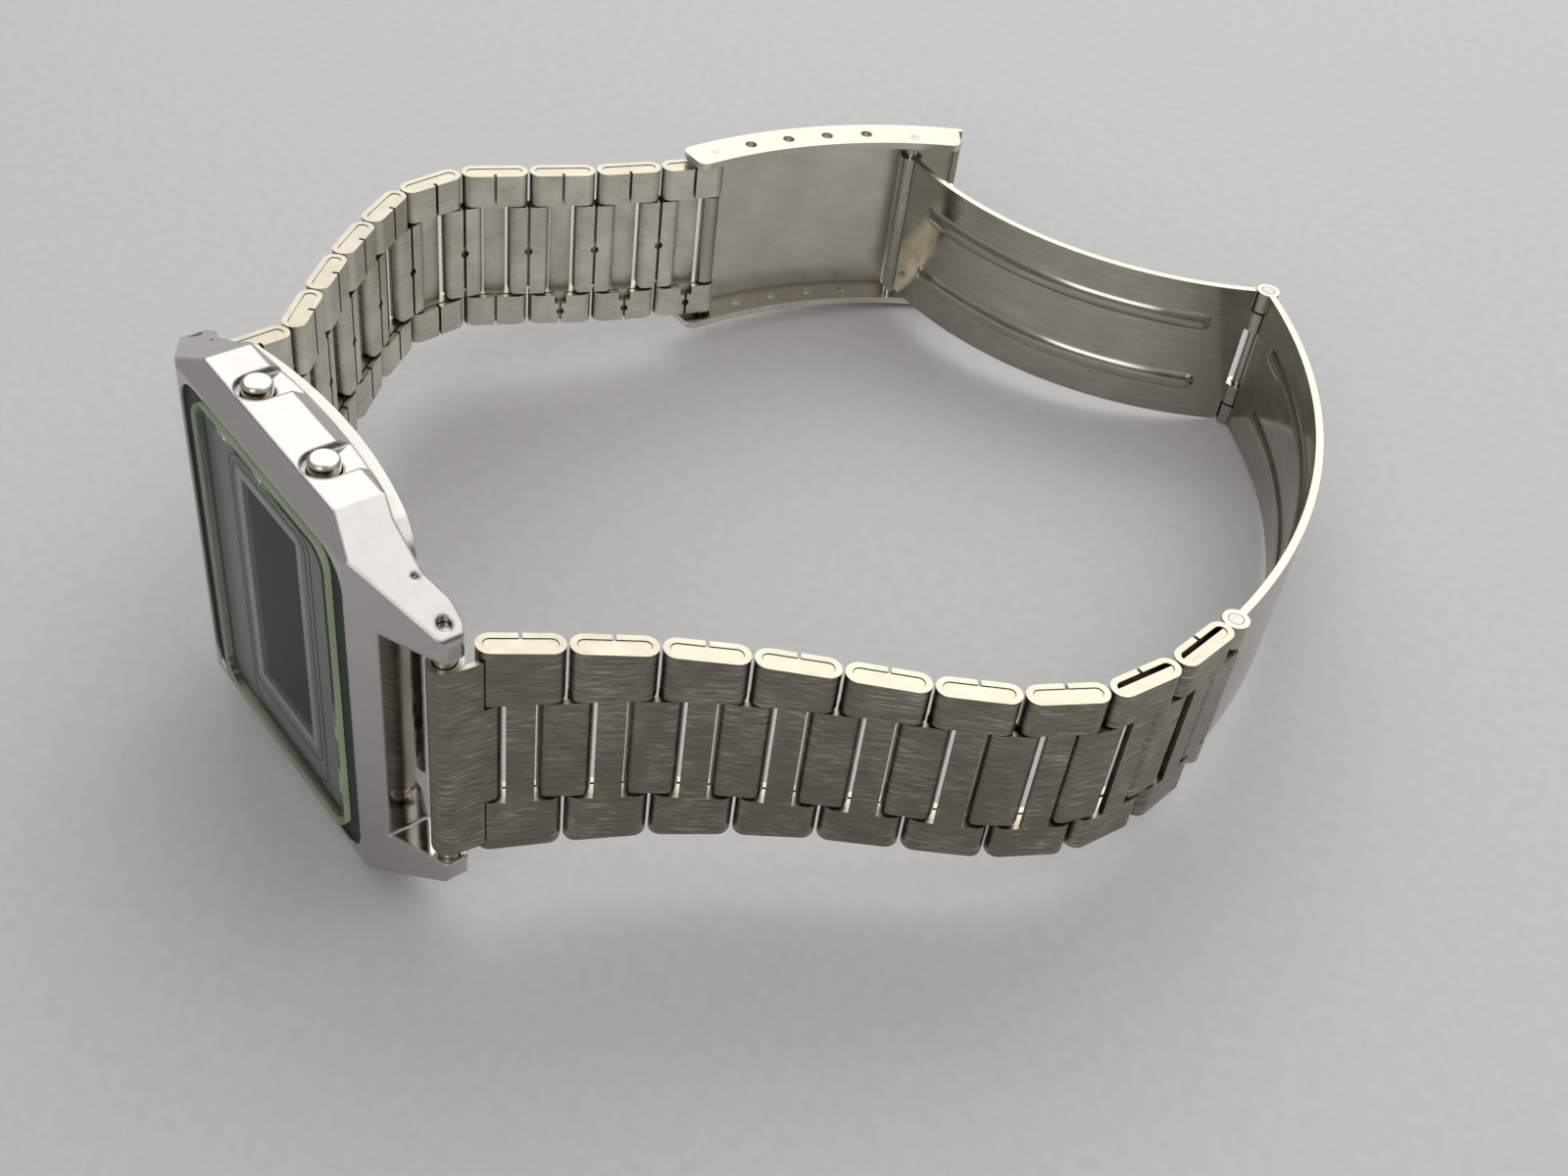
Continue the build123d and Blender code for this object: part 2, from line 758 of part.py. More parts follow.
# Near half of the band, from the lugs to the end of the long blade
near_bar = Vector(bar_along, bar_depth)
nodes["end_link_near"] = put_all(end_piece(), near_bar, near_end_heading, -1)
near_start = near_bar + along(near_end_heading) * end_reach
near_links, near_centres, near_end, near_heading = chain(
    near_start, near_first_heading, near_turns
)
for index, (place, heading) in enumerate(near_links):
    thin = index > len(near_turns) - thin_cap_links
    shapes = h_link(index * link_pitch, cap_sheet if thin else 2 * arm_cavity)
    nodes[f"near_link_{index + 1}"] = put_all(shapes, place, heading, -1)
for index, (place, heading) in enumerate(near_centres):
    shapes = centre_piece((index + 1) * link_pitch)
    nodes[f"near_centre_{index + 1}"] = put_all(shapes, place, heading, -1)
nodes["band_connector"] = put_all(connector(), near_end, connector_heading, -1)
blade_end = near_end + along(connector_heading) * connector_reach

# Far half of the band, from the lugs to the clasp cover
far_bar = Vector(-bar_along, bar_depth)
far_end_heading = 180 - near_end_heading
nodes["end_link_far"] = put_all(end_piece(), far_bar, far_end_heading, 1)
far_start = far_bar + along(far_end_heading) * end_reach
far_links, far_centres, hole_one, far_heading = chain(far_start, far_first_heading, far_turns)
for index, (place, heading) in enumerate(far_links):
    last = index == len(far_turns)
    clip = index > len(far_turns) - clip_links
    shapes = h_link(index * link_pitch, 2 * arm_cavity, open_end=last, clip=clip)
    nodes[f"far_link_{index + 1}"] = put_all(shapes, place, heading, 1)
for index, (place, heading) in enumerate(far_centres):
    shapes = centre_piece((index + 1) * link_pitch)
    nodes[f"far_centre_{index + 1}"] = put_all(shapes, place, heading, 1)

# Clasp
cover_heading = far_heading + cover_turn
cover_body, cover_hinge = clasp_cover()
nodes["clasp_cover"] = [put(cover_body, hole_one, cover_heading, 1)]
adjusting_bar = bar(pin_radius, -cover_half_width, cover_half_width)
adjusting_bar += bar(centre_radius, -centre_half_width, centre_half_width)
nodes["clasp_spring_bar"] = [put(adjusting_bar, hole_one, cover_heading, 1)]
cover_axis = hole_one + Vector(cover_hinge.X, cover_hinge.Y).rotate(Axis.Z, cover_heading)
nodes["cover_hinge_pin"] = [
    bar(hinge_pin_radius, -cover_half_width, cover_half_width, cover_axis.X, cover_axis.Y)
]

span = blade_end - cover_axis
lean = math.acos(
    (blade_one_length**2 + span.length**2 - blade_two_length**2)
    / (2 * blade_one_length * span.length)
)
span_heading = math.degrees(math.atan2(span.Y, span.X))
blade_one_heading = span_heading + math.degrees(lean)
fold_axis = cover_axis + along(blade_one_heading) * blade_one_length
reach_back = blade_end - fold_axis
blade_two_heading = math.degrees(math.atan2(reach_back.Y, reach_back.X))
nodes["clasp_blade_short"] = [put(blade_one(), cover_axis, blade_one_heading, 1)]
nodes["clasp_blade_long"] = [put(blade_two(), fold_axis, blade_two_heading, 1)]
nodes["fold_hinge_pin"] = [
    bar(hinge_pin_radius, -blade_half_width, blade_half_width, fold_axis.X, fold_axis.Y)
]
nodes["blade_end_pin_outer"] = [
    bar(hinge_pin_radius, low, high, blade_end.X, blade_end.Y)
    for low, high in both_sides(curl_inner, blade_half_width)
]
nodes["blade_end_pin_middle"] = [
    bar(hinge_pin_radius, -centre_half_width, centre_half_width, blade_end.X, blade_end.Y)
]

# Case and what it holds
nodes["case_middle"] = [case_middle()]
nodes["crystal"] = [crystal()]
nodes["crystal_gasket"] = [crystal_gasket()]
nodes["dial_plate"] = [dial_plate()]
nodes["lcd_panel"] = [lcd_panel()]
module_frame, circuit_board, battery = module_parts()
nodes["module_frame"] = [module_frame]
nodes["circuit_board"] = [circuit_board]
nodes["battery"] = [battery]
case_back, back_gasket = back_parts()
nodes["case_back"] = [case_back]
nodes["back_gasket"] = [back_gasket]
nodes["lug_spring_bars"] = spring_bars()
for name, end in (("pusher_six", 1), ("pusher_twelve", -1)):
    nodes[name] = [Pos(end * pusher_along, pusher_depth, 0) * pusher()]

# Tilt the watch onto its resting points, with the origin under its middle
tilt = Rot(rest_roll_deg, rest_pitch_deg, 0)
tilted = {
    name: [tilt * solid for shape in shapes for solid in shape.solids()]
    for name, shapes in nodes.items()
}
box = Compound([solid for solids in tilted.values() for solid in solids]).bounding_box()
to_origin = Pos(-box.center().X, -box.center().Y, -box.min.Z)

for name, solids in tilted.items():
    placed = [to_origin * solid for solid in solids]
    shape = placed[0] if len(placed) == 1 else Compound(children=placed)
    export_step(shape, f"parts/{name}.step")
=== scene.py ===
import math

import bpy
from mathutils import Matrix, Vector


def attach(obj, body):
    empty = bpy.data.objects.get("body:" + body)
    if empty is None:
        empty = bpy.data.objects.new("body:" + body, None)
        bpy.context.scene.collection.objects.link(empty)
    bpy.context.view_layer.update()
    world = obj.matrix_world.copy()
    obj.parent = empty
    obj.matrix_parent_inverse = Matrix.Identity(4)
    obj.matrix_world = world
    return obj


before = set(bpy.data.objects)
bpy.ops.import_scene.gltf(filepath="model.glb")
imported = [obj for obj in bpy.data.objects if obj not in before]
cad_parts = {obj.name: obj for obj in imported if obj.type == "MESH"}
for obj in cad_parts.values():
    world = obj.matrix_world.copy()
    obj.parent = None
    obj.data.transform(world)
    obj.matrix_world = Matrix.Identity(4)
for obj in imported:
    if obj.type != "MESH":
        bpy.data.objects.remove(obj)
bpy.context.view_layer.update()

# The watch's own frame, in millimetres: x from lug to lug, y from the dial into the loop,
# z along the band's width
MM = 0.001
WATCH_X = Vector((0.9996619, -0.0027676, -0.0258548))
WATCH_Y = Vector((0.0, 0.9943194, -0.1064376))
WATCH_Z = Vector((0.0260025, 0.1064016, 0.9939832))
WATCH_ORIGIN = Vector((-3.35194, -40.95540, 15.68401))


def turned(x, y, z):
    """A direction given in the watch's own frame."""
    return WATCH_X * x + WATCH_Y * y + WATCH_Z * z


def at(x, y, z):
    """A place given in the watch's own frame, in metres."""
    return (WATCH_ORIGIN + turned(x, y, z)) * MM


# Materials
WHOLE = (0.0, 1.0)
RAY_SAMPLES = 6
LEVEL_INWARDS = (-1.0, -1.0, 0.0)
INWARD_SPAN = (0.0, 0.01)
MIX_INPUTS = (0, 6, 7)
MIX_RESULT = 2


class Material:
    """A node material with short names for the nodes it is built from."""

    def __init__(self, name):
        self.material = bpy.data.materials.new(name)
        self.material.use_nodes = True
        self.tree = self.material.node_tree
        self.tree.nodes.clear()
        out = self.tree.nodes.new("ShaderNodeOutputMaterial")
        self.shader = self.tree.nodes.new("ShaderNodeBsdfPrincipled")
        self.join(self.shader.outputs[0], out.inputs[0])
        self.place = self.tree.nodes.new("ShaderNodeTexCoord").outputs["Object"]

    def join(self, value, socket):
        """Link another node's output to the socket, or give it a number, a vector or a colour."""
        if isinstance(value, bpy.types.NodeSocket):
            self.tree.links.new(value, socket)
        elif socket.type == "RGBA":
            socket.default_value = (*value, 1.0)
        else:
            socket.default_value = value

    def set(self, **values):
        for key, value in values.items():
            self.join(value, self.shader.inputs[key.replace("_", " ")])

    def node(self, kind, **values):
        made = self.tree.nodes.new(kind)
        for key, value in values.items():
            self.join(value, made.inputs[key.replace("_", " ")])
        return made

    def operated(self, kind, operation, *values):
        """A node that works out one operation on the values."""
        made = self.tree.nodes.new(kind)
        made.operation = operation
        for value, socket in zip(values, made.inputs):
            self.join(value, socket)
        return made

    def math(self, operation, *values):
        return self.operated("ShaderNodeMath", operation, *values).outputs[0]

    def vector(self, operation, *values):
        return self.operated("ShaderNodeVectorMath", operation, *values).outputs

    def stretched(self, factors):
        """Object place in the watch's own axes, each axis times its own factor."""
        made = self.tree.nodes.new("ShaderNodeCombineXYZ")
        for socket, axis, factor in zip(made.inputs, (WATCH_X, WATCH_Y, WATCH_Z), factors):
            self.join(self.vector("DOT_PRODUCT", self.place, axis * factor)["Value"], socket)
        return made.outputs[0]

    def noise(self, vector, scale, detail, roughness):
        made = self.node("ShaderNodeTexNoise", Vector=vector, Scale=scale, Detail=detail,
                         Roughness=roughness)
        return made.outputs[0]

    def ranged(self, value, span, to=WHOLE):
        """The value with the span's ends brought to the other span's ends, and held there."""
        made = self.node("ShaderNodeMapRange", Value=value, From_Min=span[0], From_Max=span[1],
                         To_Min=to[0], To_Max=to[1])
        return made.outputs[0]

    def mixed(self, factor, a, b):
        made = self.tree.nodes.new("ShaderNodeMix")
        made.data_type = "RGBA"
        for value, index in zip((factor, a, b), MIX_INPUTS):
            self.join(value, made.inputs[index])
        return made.outputs[MIX_RESULT]

    def normal(self):
        return self.tree.nodes.new("ShaderNodeNewGeometry").outputs["Normal"]

    def facing(self, axis, span):
        """One where the surface faces along the axis, either way, and nought where it lies along it."""
        turn = self.vector("DOT_PRODUCT", self.normal(), axis)["Value"]
        return self.ranged(self.math("ABSOLUTE", turn), span)

    def inside(self):
        """One where the surface faces the middle of the bracelet's loop."""
        inwards = self.vector("MULTIPLY", self.place, LEVEL_INWARDS)[0]
        turn = self.vector("DOT_PRODUCT", self.normal(), inwards)["Value"]
        return self.ranged(turn, INWARD_SPAN)

    def hidden(self, reach, span, most):
        """How far the surface lies in a gap, from the given most down to nought."""
        gaps = self.node("ShaderNodeAmbientOcclusion", Distance=reach)
        gaps.samples = RAY_SAMPLES
        return self.ranged(gaps.outputs["AO"], span, (most, 0.0))

    def bump(self, height, distance, strength=1.0, edge=0.0):
        """Fine relief, over edges that are rounded by the given radius."""
        made = self.node("ShaderNodeBump", Strength=strength, Distance=distance, Height=height)
        if edge:
            rounded = self.node("ShaderNodeBevel", Radius=edge)
            rounded.samples = RAY_SAMPLES
            self.join(rounded.outputs[0], made.inputs["Normal"])
        self.join(made.outputs[0], self.shader.inputs["Normal"])


def darker(colour, share):
    return tuple(c * share for c in colour)


# Steel: each noise has its scale per metre, detail and roughness, and spans of its value
STREAK_NOISE = (1.0, 4.0, 0.6)
STREAK_SPAN = (0.3, 0.72)
STREAK_ROUGH_SPAN = (0.3, 0.7)
BLOTCH_NOISE = (260.0, 4.0, 0.6)
BLOTCH_SPAN = (0.35, 0.7)
BLOTCH_SHARES = (0.35, 0.0)
BLOTCH_SHADE = 0.72
BLOTCH_ROUGHNESS = (0.0, 0.07)
# Painted highlight on faces inside the loop: span and shares after the blotches, and its extra
# roughness
INSIDE_HIGHLIGHT_SPAN = (0.35, 0.6)
INSIDE_HIGHLIGHT_SHARES = (1.0, 0.78)
INSIDE_HIGHLIGHT_ROUGHNESS = 0.16
GLINT_STREAK_SPAN = (0.52, 0.67)
GLINT_BLOTCH_SPAN = (0.42, 0.58)
GLINT_LEAST = 0.1
# Ends across the band: lighter, partly for their machined finish, partly as painted highlight where
# they face the lamps
CUT_AND_HIGHLIGHT_SPAN = (0.85, 0.97)
# Gaps darkened by ambient occlusion: partly dirt and rust, partly painted shade
GAP_SHADE_AND_GRIME = 0.6
GAP_SHADE_AND_GRIME_REACH = 0.0009
GAP_SHADE_AND_GRIME_SPAN = (0.15, 0.8)
GAP_SHADE_AND_GRIME_COLOUR = (0.045, 0.034, 0.024)
RUST_NOISE = (95.0, 3.0, 0.6)
RUST_SPAN = (0.5, 0.62)
RUST_COLOUR = (0.17, 0.10, 0.04)


def steel(name, colour, dark, rough, streak=0.12, along=(40, 40, 9000), bump=0.000004, cut_and_highlight=None,
          wear_and_inside_highlight=None, glint=0.9):
    """Worn steel: brush streaks, blotches, painted glints, and gaps darkened by rust, dirt and painted
    shade.

    The streaks are fine along the watch's axis that has the largest factor. The cut colour is on the
    bright ends across the band: partly a lighter machined finish, partly painted highlight where those
    ends face the lamps; it also colours the painted glints. The colour for faces inside the loop is a
    painted highlight.
    """
    m = Material(name)
    streaks = m.noise(m.stretched(along), *STREAK_NOISE)
    blotches = m.noise(m.place, *BLOTCH_NOISE)
    shade = m.mixed(m.ranged(streaks, STREAK_SPAN), dark, colour)
    shade = m.mixed(m.ranged(blotches, BLOTCH_SPAN, BLOTCH_SHARES), shade, darker(dark, BLOTCH_SHADE))
    half = streak / 2
    roughness = m.math("ADD", m.ranged(streaks, STREAK_ROUGH_SPAN, (rough - half, rough + half)),
                       m.ranged(blotches, BLOTCH_SPAN, BLOTCH_ROUGHNESS))
    # Painted highlight: faces inside the loop take a lighter colour, in patches, and a little more
    # roughness
    if wear_and_inside_highlight:
        inside = m.inside()
        even = m.ranged(blotches, INSIDE_HIGHLIGHT_SPAN, INSIDE_HIGHLIGHT_SHARES)
        shade = m.mixed(m.math("MULTIPLY", inside, even), shade, wear_and_inside_highlight)
        roughness = m.math("ADD", roughness, m.math("MULTIPLY", inside, INSIDE_HIGHLIGHT_ROUGHNESS))
    # Painted glints in streaky patches, then the ends across the band: partly a lighter machined
    # finish, partly painted highlight where they face the lamps
    if cut_and_highlight:
        glints = m.math("MULTIPLY", m.ranged(streaks, GLINT_STREAK_SPAN),
                        m.ranged(blotches, GLINT_BLOTCH_SPAN, (GLINT_LEAST, glint)))
        shade = m.mixed(glints, shade, cut_and_highlight)
        shade = m.mixed(m.facing(WATCH_Z, CUT_AND_HIGHLIGHT_SPAN), shade, cut_and_highlight)
    # Darker colour in the gaps: partly dirt and rust, partly painted shade
    rust = m.ranged(m.noise(m.place, *RUST_NOISE), RUST_SPAN)
    gap_shade_and_grime = m.mixed(rust, GAP_SHADE_AND_GRIME_COLOUR, RUST_COLOUR)
    shade = m.mixed(m.hidden(GAP_SHADE_AND_GRIME_REACH, GAP_SHADE_AND_GRIME_SPAN, GAP_SHADE_AND_GRIME), shade, gap_shade_and_grime)
    m.set(Metallic=1.0, Base_Color=shade, Roughness=roughness)
    m.bump(streaks, bump)
    return m.material


# Polish
WAVE_NOISE = (170.0, 2.0, 0.5)
WAVE_HEIGHT = 0.00012
WAVE_STRENGTH = 0.35
ROUNDED_EDGE = 0.00032
SMUDGE_NOISE = (620.0, 5.0, 0.65)
SMUDGE_SPAN = (0.45, 0.75)
SMUDGE_SHARES = (0.0, 0.16)
SMUDGE_SHADE = 0.7
SMUDGE_ROUGH_SPAN = (0.4, 0.7)
SMUDGE_ROUGHNESS = 0.12
HAIR_FACTORS = (900, 7000, 1400)
HAIR_NOISE = (1.0, 2.0, 0.5)
HAIR_SPAN = (0.62, 0.8)
HAIR_ROUGHNESS = (0.0, 0.12)
# Crevices darkened by ambient occlusion: partly dirt, partly painted shade
CREVICE_SHADE_AND_DIRT = 0.55
CREVICE_SHADE_AND_DIRT_REACH = 0.0007
CREVICE_SHADE_AND_DIRT_SPAN = (0.05, 0.6)
CREVICE_SHADE_AND_DIRT_COLOUR = (0.05, 0.04, 0.03)


def polished(name, colour, rough):
    """Polished steel: fine hair scratches, smudges and slight waviness."""
    m = Material(name)
    smudge = m.noise(m.place, *SMUDGE_NOISE)
    hairs = m.noise(m.stretched(HAIR_FACTORS), *HAIR_NOISE)
    shade = m.mixed(m.ranged(smudge, SMUDGE_SPAN, SMUDGE_SHARES), colour, darker(colour, SMUDGE_SHADE))
    # Painted shade and dirt: crevices mixed towards near black
    shade = m.mixed(m.hidden(CREVICE_SHADE_AND_DIRT_REACH, CREVICE_SHADE_AND_DIRT_SPAN, CREVICE_SHADE_AND_DIRT), shade, CREVICE_SHADE_AND_DIRT_COLOUR)
    roughness = m.math("ADD", m.ranged(smudge, SMUDGE_ROUGH_SPAN, (rough, rough + SMUDGE_ROUGHNESS)),
                       m.ranged(hairs, HAIR_SPAN, HAIR_ROUGHNESS))
    m.set(Metallic=1.0, Base_Color=shade, Roughness=roughness)
    m.bump(m.noise(m.place, *WAVE_NOISE), WAVE_HEIGHT, WAVE_STRENGTH, ROUNDED_EDGE)
    return m.material


# Plastic, rubber and print
GRAIN_DETAIL = 5.0
GRAIN_MIX = 0.6
GRAIN_SPAN = (0.35, 0.7)
GRAIN_ROUGH_SPAN = (0.3, 0.7)
GRAIN_SMOOTHER = 0.08
GRAIN_ROUGHER = 0.1
GRAIN_HEIGHT = 0.00001
PRINT_GRAIN = 2600.0
PRINT_GLOSS = 0.15


def plain(name, colour, dark, rough, scale, **values):
    """Plastic, rubber or print: fine grain with darker specks."""
    m = Material(name)
    grain = m.noise(m.place, scale, GRAIN_DETAIL, GRAIN_MIX)
    roughness = m.ranged(grain, GRAIN_ROUGH_SPAN, (rough - GRAIN_SMOOTHER, rough + GRAIN_ROUGHER))
    m.set(Base_Color=m.mixed(m.ranged(grain, GRAIN_SPAN), dark, colour), Roughness=roughness, **values)
    m.bump(grain, GRAIN_HEIGHT)
    return m.material


def printed(name, colour, dark, rough):
    return plain(name, colour, dark, rough, PRINT_GRAIN, Specular_IOR_Level=PRINT_GLOSS)


# Crystal
HAZE_NOISE = (900.0, 4.0, 0.6)
HAZE_SPAN = (0.5, 0.75)
HAZE_ROUGH_SPAN = (0.4, 0.7)
HAZE_ROUGHNESS = (0.01, 0.05)
CLEAR_COLOUR = (0.95, 0.98, 0.95)
HAZE_COLOUR = (0.86, 0.91, 0.86)
WALL_COLOUR = (0.62, 0.76, 0.50)
FACE_SPAN = (0.3, 0.75)
WALL_ROUGHNESS = 0.45
WALL_OPAQUE = 0.85
CRYSTAL_IOR = 1.08


def clear_crystal(name):
    """Clear slab with ground, pale green side walls."""
    m = Material(name)
    haze = m.noise(m.place, *HAZE_NOISE)
    wall = m.math("SUBTRACT", 1.0, m.facing(WATCH_Y, FACE_SPAN))
    clear = m.mixed(m.ranged(haze, HAZE_SPAN), CLEAR_COLOUR, HAZE_COLOUR)
    roughness = m.math("ADD", m.ranged(haze, HAZE_ROUGH_SPAN, HAZE_ROUGHNESS),
                       m.math("MULTIPLY", wall, WALL_ROUGHNESS))
    through = m.math("SUBTRACT", 1.0, m.math("MULTIPLY", wall, WALL_OPAQUE))
    m.set(Base_Color=m.mixed(wall, clear, WALL_COLOUR), Roughness=roughness,
          Transmission_Weight=through, IOR=CRYSTAL_IOR)
    return m.material


# Rolled clasp steel: plain, dark and end colours; the end colour is partly painted highlight
ROLLED, ROLLED_DARK, ROLLED_CUT_AND_HIGHLIGHT = (0.50, 0.475, 0.425), (0.42, 0.395, 0.35), (0.60, 0.555, 0.46)
ROLLED_ALONG, ROLLED_BUMP, ROLLED_GLINT = (300, 300, 2600), 0.0000005, 0.25

# Links: the colour given for faces inside the loop is a painted highlight, and the end colour is partly
# painted highlight
LINK = steel("brushed steel links", (0.35, 0.32, 0.272), (0.19, 0.172, 0.143), 0.28, 0.12,
             (600, 600, 8500), 0.000003, cut_and_highlight=(0.56, 0.515, 0.41), wear_and_inside_highlight=(0.86, 0.82, 0.74))
CLASP = steel("rolled steel clasp", ROLLED, ROLLED_DARK, 0.13, 0.04, ROLLED_ALONG, ROLLED_BUMP,
              cut_and_highlight=ROLLED_CUT_AND_HIGHLIGHT, glint=ROLLED_GLINT)
# Cover: the colour given for faces inside the loop is a painted highlight
COVER = steel("rolled steel cover", ROLLED, ROLLED_DARK, 0.15, 0.04, ROLLED_ALONG, ROLLED_BUMP,
              cut_and_highlight=ROLLED_CUT_AND_HIGHLIGHT, wear_and_inside_highlight=(0.84, 0.81, 0.75), glint=ROLLED_GLINT)
BACK = steel("brushed steel back", (0.60, 0.58, 0.54), (0.53, 0.51, 0.47), 0.24, 0.08,
             (9000, 300, 300), 0.000002)
PIN = steel("drawn steel pins", (0.66, 0.63, 0.57), (0.46, 0.43, 0.39), 0.2, 0.08,
            (2500, 2500, 200))
CELL = steel("nickel cell", (0.75, 0.75, 0.74), (0.6, 0.6, 0.6), 0.25)
CASE = polished("polished steel case", (0.52, 0.50, 0.48), 0.035)
BUTTON = polished("polished buttons", (0.68, 0.645, 0.56), 0.08)
RUBBER = plain("black gasket", (0.018, 0.018, 0.019), (0.01, 0.01, 0.011), 0.55, 1500.0)
PLASTIC = plain("black moulding", (0.03, 0.03, 0.03), (0.02, 0.02, 0.02), 0.5, 1200.0)
BOARD = plain("green board", (0.02, 0.16, 0.07), (0.01, 0.1, 0.045), 0.4, 700.0)
DISPLAY = plain("dark display", (0.014, 0.018, 0.019), (0.008, 0.011, 0.012), 0.5, 500.0,
                Specular_IOR_Level=0.0)
DIAL = printed("grey dial print", (0.19, 0.20, 0.19), (0.14, 0.15, 0.145), 0.42)
LINES = printed("black dial lines", (0.02, 0.021, 0.022), (0.012, 0.012, 0.013), 0.4)
BORDER = printed("pale window border", (0.36, 0.37, 0.34), (0.27, 0.28, 0.26), 0.4)
CRYSTAL = clear_crystal("clear crystal")

# Every node that isn't named here is a piece of the band
BY_NODE = {
    "case_middle": CASE, "crystal": CRYSTAL, "crystal_gasket": RUBBER, "dial_plate": DIAL,
    "lcd_panel": DISPLAY, "module_frame": PLASTIC, "circuit_board": BOARD, "battery": CELL,
    "case_back": BACK, "back_gasket": RUBBER, "lug_spring_bars": PIN, "pusher_six": BUTTON,
    "pusher_twelve": BUTTON, "clasp_cover": COVER, "clasp_blade_short": CLASP,
    "clasp_blade_long": CLASP, "clasp_spring_bar": PIN, "cover_hinge_pin": PIN,
    "fold_hinge_pin": PIN, "blade_end_pin_outer": PIN, "blade_end_pin_middle": PIN,
}

# Worn edges, in millimetres
EDGE = {"case_middle": 0.22, "crystal": 0.1, "case_back": 0.08, "crystal_gasket": 0.05}
LEAST_EDGE = 0.05
EDGE_SEGMENTS = 2
EDGE_ANGLE = math.radians(35)

for name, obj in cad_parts.items():
    obj.data.materials.clear()
    obj.data.materials.append(BY_NODE.get(name, LINK))
    edge = obj.modifiers.new("worn edge", "BEVEL")
    edge.width = EDGE.get(name, LEAST_EDGE) * MM
    edge.segments = EDGE_SEGMENTS
    edge.limit_method = "ANGLE"
    edge.angle_limit = EDGE_ANGLE
    edge.use_clamp_overlap = True

# Printed lines on the dial, as thin raised rings: middle and half sizes along x and z,
# corner radius and line width
DIAL_FRONT = 1.5
PRINT_RISE = 0.03
CORNER_STEPS = 8
LEAST_CORNER = 0.05
RINGS = (
    ("dial_outer_line", (-0.3, -0.9), (5.4, 11.3), 1.5, 0.16, LINES),
    ("dial_middle_line", (-0.4, -0.3), (4.9, 10.1), 1.1, 0.12, LINES),
    ("window_border", (-0.4, 0.0), (4.3, 9.4), 0.7, 0.62, BORDER),
)


def ring_points(half_x, half_z, corner):
    points = []
    for quarter, (sx, sz) in enumerate(((1, 1), (-1, 1), (-1, -1), (1, -1))):
        for i in range(CORNER_STEPS + 1):
            turn = math.radians(90 * quarter + 90 * i / CORNER_STEPS)
            points.append((sx * (half_x - corner) + corner * math.cos(turn),
                           sz * (half_z - corner) + corner * math.sin(turn)))
    return points


def printed_ring(name, middle, half, corner, width, material):
    """A closed rounded ring on the dial, lying around the given middle point."""
    outer = ring_points(half[0], half[1], corner)
    inner = ring_points(half[0] - width, half[1] - width, max(corner - width, LEAST_CORNER))
    verts, faces = [], []
    for depth in (DIAL_FRONT - PRINT_RISE, DIAL_FRONT):
        for x, z in outer + inner:
            verts.append(at(middle[0] + x, depth, middle[1] + z))
    n = len(outer)
    for i in range(n):
        j = (i + 1) % n
        faces.append((i, j, n + j, n + i))
        faces.append((2 * n + j, 2 * n + i, 3 * n + i, 3 * n + j))
        faces.append((j, i, 2 * n + i, 2 * n + j))
        faces.append((n + i, n + j, 3 * n + j, 3 * n + i))
    mesh = bpy.data.meshes.new(name)
    mesh.from_pydata(verts, [], faces)
    mesh.materials.append(material)
    obj = bpy.data.objects.new(name, mesh)
    bpy.context.collection.objects.link(obj)
    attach(obj, "case")


for ring in RINGS:
    printed_ring(*ring)

# Floor, a little below the watch; far away, where the lamps don't reach it, it stays as pale
FLOOR_SIZE = 9.0
FLOOR_DROP = 0.00002
FLOOR_NOISE = (900.0, 4.0, 0.6)
FLOOR_SPAN = (0.3, 0.7)
FLOOR_COLOURS = (0.60, 0.60, 0.59), (0.64, 0.64, 0.63)
FLOOR_ROUGHNESS = 0.7
FAR_COLOUR = (1.0, 1.0, 0.985)
FAR_SPAN = (0.35, 1.8)
FAR_STRENGTHS = (0.0, 0.28)


def pale_floor(name):
    """Pale matt floor whose far part glows, as the camera, mirrors and clear pieces see it."""
    m = Material(name)
    weave = m.ranged(m.noise(m.place, *FLOOR_NOISE), FLOOR_SPAN)
    far = m.ranged(m.vector("LENGTH", m.place)["Value"], FAR_SPAN, FAR_STRENGTHS)
    ray = m.tree.nodes.new("ShaderNodeLightPath").outputs
    seen = m.math("MAXIMUM", ray["Is Camera Ray"], ray["Is Glossy Ray"])
    seen = m.math("MAXIMUM", seen, ray["Is Transmission Ray"])
    m.set(Base_Color=m.mixed(weave, *FLOOR_COLOURS), Roughness=FLOOR_ROUGHNESS,
          Emission_Color=FAR_COLOUR, Emission_Strength=m.math("MULTIPLY", seen, far))
    return m.material


bpy.ops.mesh.primitive_plane_add(size=FLOOR_SIZE, location=(0, 0, -FLOOR_DROP))
floor = bpy.context.object
floor.name = "floor"
floor.data.materials.append(pale_floor("pale floor"))

# Sky: greys by height, from the horizon up
SKY_GREYS = ((0.0, 0.85), (0.08, 0.80), (0.32, 0.17), (0.9, 0.75))
SKY_BLUE = 1.01
SKY_STRENGTH = 0.70

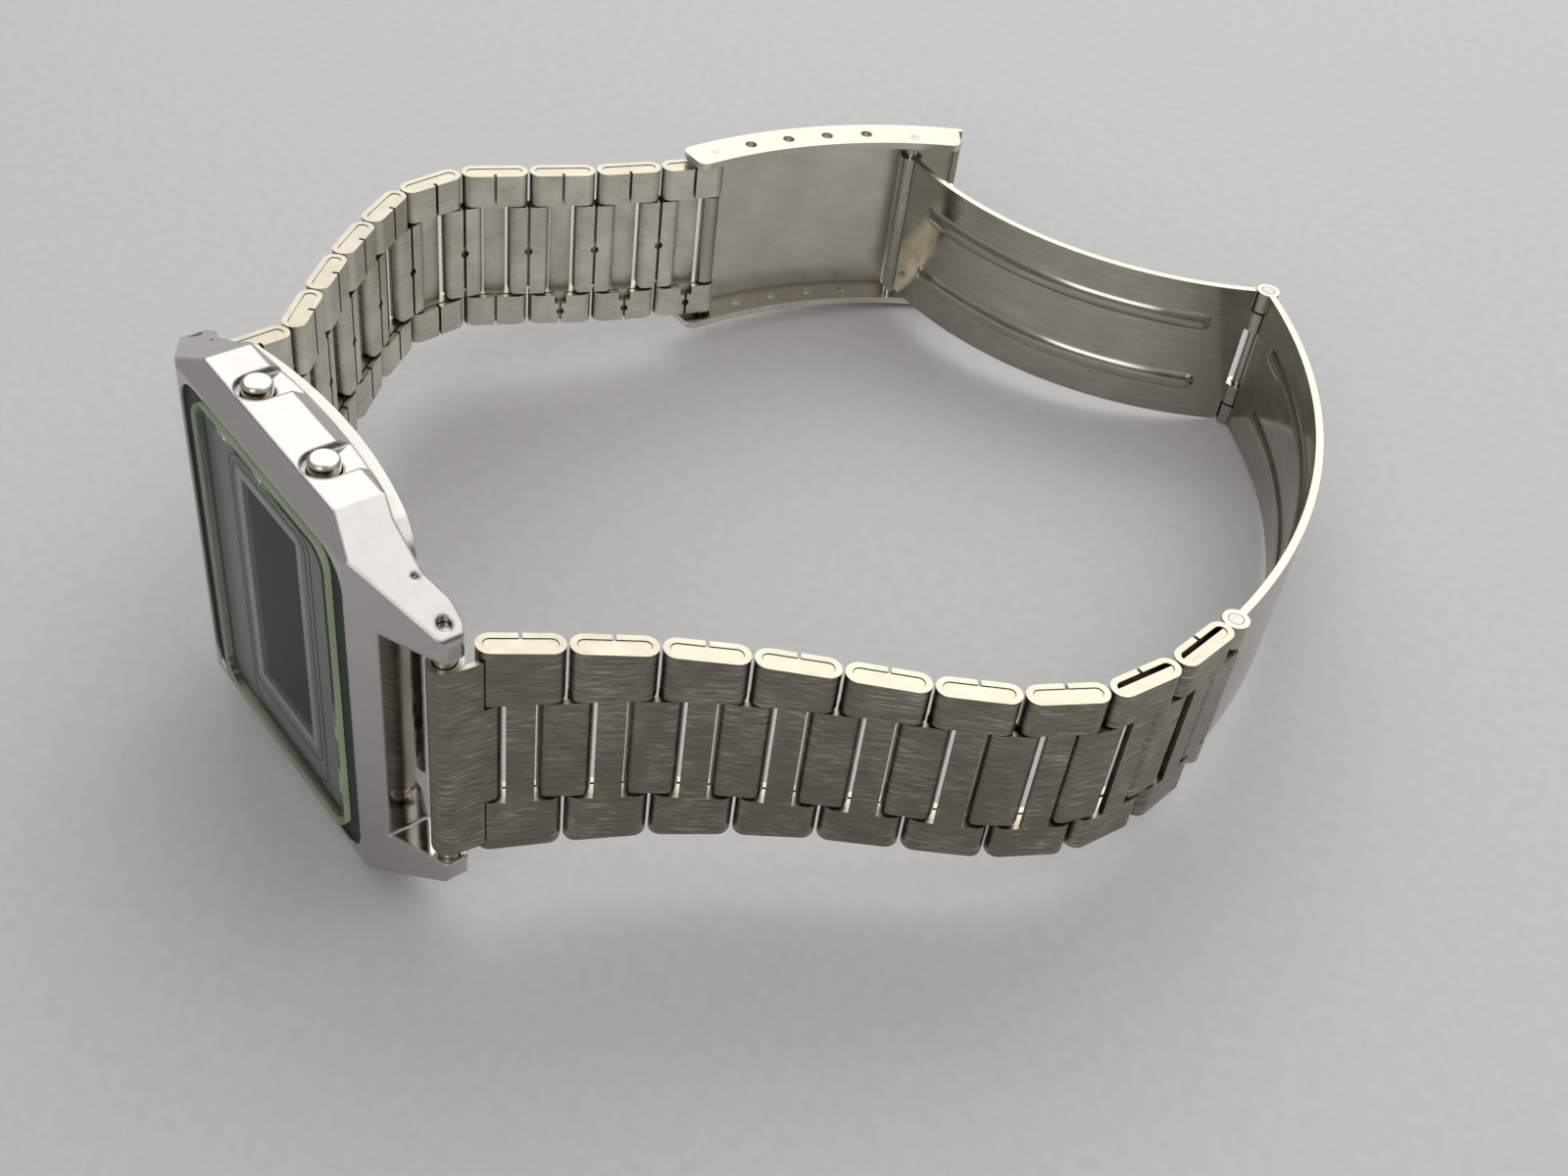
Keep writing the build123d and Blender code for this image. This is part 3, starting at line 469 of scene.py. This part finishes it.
world = bpy.data.worlds.new("soft studio")
bpy.context.scene.world = world
world.use_nodes = True
sky = world.node_tree
sky.nodes.clear()
sky_out = sky.nodes.new("ShaderNodeOutputWorld")
sky_light = sky.nodes.new("ShaderNodeBackground")
sky_ramp = sky.nodes.new("ShaderNodeValToRGB")
sky_split = sky.nodes.new("ShaderNodeSeparateXYZ")
sky_place = sky.nodes.new("ShaderNodeTexCoord")
sky.links.new(sky_place.outputs["Generated"], sky_split.inputs[0])
sky.links.new(sky_split.outputs["Z"], sky_ramp.inputs[0])
sky.links.new(sky_ramp.outputs[0], sky_light.inputs[0])
sky.links.new(sky_light.outputs[0], sky_out.inputs[0])
stops = sky_ramp.color_ramp.elements
while len(stops) < len(SKY_GREYS):
    stops.new(SKY_GREYS[-1][0])
for stop, (place, grey) in zip(stops, SKY_GREYS):
    stop.position = place
    stop.color = (grey, grey, grey * SKY_BLUE, 1)
sky_light.inputs["Strength"].default_value = SKY_STRENGTH

# Lamps: place, size and watts
LAMP_TARGET = Vector((0.0, 0.0, 0.015))
LAMPS = (
    ("back softbox", (-0.38, 0.40, 0.46), (0.80, 0.55), 2.3),
    ("top softbox", (0.17, 0.40, 0.62), (0.70, 0.55), 1.3),
    ("front fill", (0.35, -0.60, 0.55), (0.45, 0.45), 1.4),
)

for name, place, size, power in LAMPS:
    data = bpy.data.lights.new(name, "AREA")
    data.shape = "RECTANGLE"
    data.size, data.size_y = size
    data.energy = power
    obj = bpy.data.objects.new(name, data)
    bpy.context.collection.objects.link(obj)
    obj.location = place
    obj.rotation_euler = (LAMP_TARGET - obj.location).to_track_quat("-Z", "Y").to_euler()

# Camera, in the watch's own frame
CAMERA_SENSOR = 36
CAMERA_LENS = 41.665
CAMERA_NEAR = 0.01
CAMERA_RIGHT = (0.6102, 0.7849, 0.1073)
CAMERA_UP = (-0.5828, 0.3529, 0.7320)
CAMERA_BACK = (0.5367, -0.5092, 0.6728)
CAMERA_PLACE = (81.9886, -32.7816, 84.0513)

camera_data = bpy.data.cameras.new("camera")
camera_data.sensor_width = CAMERA_SENSOR
camera_data.lens = CAMERA_LENS
camera_data.clip_start = CAMERA_NEAR
camera = bpy.data.objects.new("camera", camera_data)
bpy.context.collection.objects.link(camera)
look = Matrix([turned(*axis) for axis in (CAMERA_RIGHT, CAMERA_UP, CAMERA_BACK)]).transposed()
look = look.to_4x4()
look.translation = at(*CAMERA_PLACE)
camera.matrix_world = look
bpy.context.scene.camera = camera

bpy.context.scene.view_settings.view_transform = "Standard"
